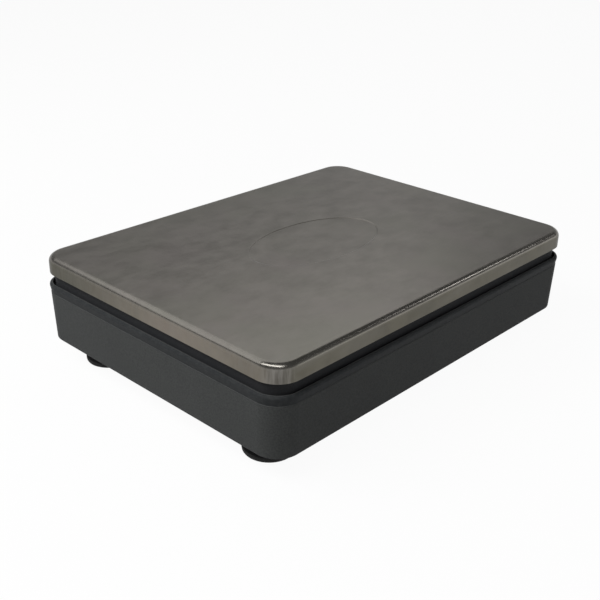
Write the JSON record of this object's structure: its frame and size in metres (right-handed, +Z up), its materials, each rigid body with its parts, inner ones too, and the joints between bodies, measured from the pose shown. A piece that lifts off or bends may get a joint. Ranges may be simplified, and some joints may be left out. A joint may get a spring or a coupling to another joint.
{
  "type": "weighing scale base",
  "caption": "Low counter weighing base: folded steel platter with a pressed oval, on a load cell in a drafted grey housing with levelling feet and a rear data socket.",
  "frame": {"origin": "centre of the footprint, on the surface that the feet stand on", "axes": "+X to the right along the long side seen from the front, +Y to the back where the socket is, +Z up"},
  "size_m": [0.3824, 0.2874, 0.0972],
  "materials": {
    "platter_steel": "brushed stainless sheet",
    "zinc_steel": "zinc plated",
    "tinned_sheet": "tinned sheet",
    "cast_aluminium": "die-cast, blasted",
    "cell_aluminium": "milled",
    "foil": "rolled foil",
    "housing_plastic": "fine spark-eroded texture",
    "deck_plastic": "fine texture",
    "black_plastic": "moulded",
    "ivory_plastic": "moulded",
    "red_plastic": "moulded",
    "board_laminate": "solder mask",
    "rubber": "moulded, matt",
    "cable_sheath": "smooth sheath",
    "brass": "turned",
    "level_glass": "clear, with tinted spirit"
  },
  "bodies": {
    "base": {"load_cell_bolts": "zinc_steel", "stop_screws": "zinc_steel", "stop_locknuts": "zinc_steel", "housing_screws": "zinc_steel", "deck_screws": "zinc_steel", "level_screws": "zinc_steel", "board_screws": "zinc_steel", "clip_screw": "zinc_steel", "plate_screws": "zinc_steel", "jackscrews": "zinc_steel", "foot_locknuts": "zinc_steel", "shield_can": "tinned_sheet", "connector_plate": "tinned_sheet", "data_socket": "tinned_sheet", "calibration_cover": "tinned_sheet", "chassis": "cast_aluminium", "lower_spacer": "cast_aluminium", "load_cell": "cell_aluminium", "gauge_covers": "foil", "housing": "housing_plastic", "deck_cover": "deck_plastic", "level_holder": "deck_plastic", "board_chips": "black_plastic", "board_capacitors": "black_plastic", "socket_insert": "black_plastic", "cable_clip": "black_plastic", "cable_header": "ivory_plastic", "cable_plug": "ivory_plastic", "calibration_jumper": "red_plastic", "main_board": "board_laminate", "deck_seal": "rubber", "load_cell_cable": "cable_sheath", "foot_inserts": "brass", "seal_screws": "brass", "level_vial": "level_glass"},
    "weigh_platform": {"spider": "cast_aluminium", "spider_bolts": "zinc_steel", "upper_spacer": "cast_aluminium", "platter_pads": "rubber"},
    "platter": {"platter": "platter_steel", "platter_pins": "zinc_steel"},
    "foot_pad_front_left": {"foot_pad_front_left": "rubber"},
    "foot_stud_front_left": {"foot_stud_front_left": "zinc_steel"},
    "foot_pad_front_right": {"foot_pad_front_right": "rubber"},
    "foot_stud_front_right": {"foot_stud_front_right": "zinc_steel"},
    "foot_pad_rear_left": {"foot_pad_rear_left": "rubber"},
    "foot_stud_rear_left": {"foot_stud_rear_left": "zinc_steel"},
    "foot_pad_rear_right": {"foot_pad_rear_right": "rubber"},
    "foot_stud_rear_right": {"foot_stud_rear_right": "zinc_steel"}
  },
  "joints": [
    {"name": "platform_deflection", "type": "slide", "parent": "base", "child": "weigh_platform", "axis": [0, 0, -1], "range_m": [0, 0.0005], "stiffness_N_per_m": 367000, "springref_m": -0.00006, "deforming": ["load_cell"]},
    {"name": "platter_lift", "type": "slide", "parent": "weigh_platform", "child": "platter", "axis": [0, 0, 1], "range_m": [0, 0.06]},
    {"name": "foot_height_front_left", "type": "slide", "parent": "base", "child": "foot_pad_front_left", "axis": [0, 0, 1], "range_m": [-0.008, 0.004]},
    {"name": "foot_turn_front_left", "type": "hinge", "parent": "foot_pad_front_left", "child": "foot_stud_front_left", "pos_m": [-0.1549, -0.0994, 0], "axis": [0, 0, 1], "range_deg": [-2304, 1152]},
    {"name": "foot_height_front_right", "type": "slide", "parent": "base", "child": "foot_pad_front_right", "axis": [0, 0, 1], "range_m": [-0.008, 0.004]},
    {"name": "foot_turn_front_right", "type": "hinge", "parent": "foot_pad_front_right", "child": "foot_stud_front_right", "pos_m": [0.1549, -0.0994, 0], "axis": [0, 0, 1], "range_deg": [-2304, 1152]},
    {"name": "foot_height_rear_left", "type": "slide", "parent": "base", "child": "foot_pad_rear_left", "axis": [0, 0, 1], "range_m": [-0.008, 0.004]},
    {"name": "foot_turn_rear_left", "type": "hinge", "parent": "foot_pad_rear_left", "child": "foot_stud_rear_left", "pos_m": [-0.1549, 0.0994, 0], "axis": [0, 0, 1], "range_deg": [-2304, 1152]},
    {"name": "foot_height_rear_right", "type": "slide", "parent": "base", "child": "foot_pad_rear_right", "axis": [0, 0, 1], "range_m": [-0.008, 0.004]},
    {"name": "foot_turn_rear_right", "type": "hinge", "parent": "foot_pad_rear_right", "child": "foot_stud_rear_right", "pos_m": [0.1549, 0.0994, 0], "axis": [0, 0, 1], "range_deg": [-2304, 1152]}
  ],
  "couplings": [
    {"joint": "foot_turn_front_left", "follows": "foot_height_front_left", "rad_per_m": 5026.5},
    {"joint": "foot_turn_front_right", "follows": "foot_height_front_right", "rad_per_m": 5026.5},
    {"joint": "foot_turn_rear_left", "follows": "foot_height_rear_left", "rad_per_m": 5026.5},
    {"joint": "foot_turn_rear_right", "follows": "foot_height_rear_right", "rad_per_m": 5026.5}
  ]
}
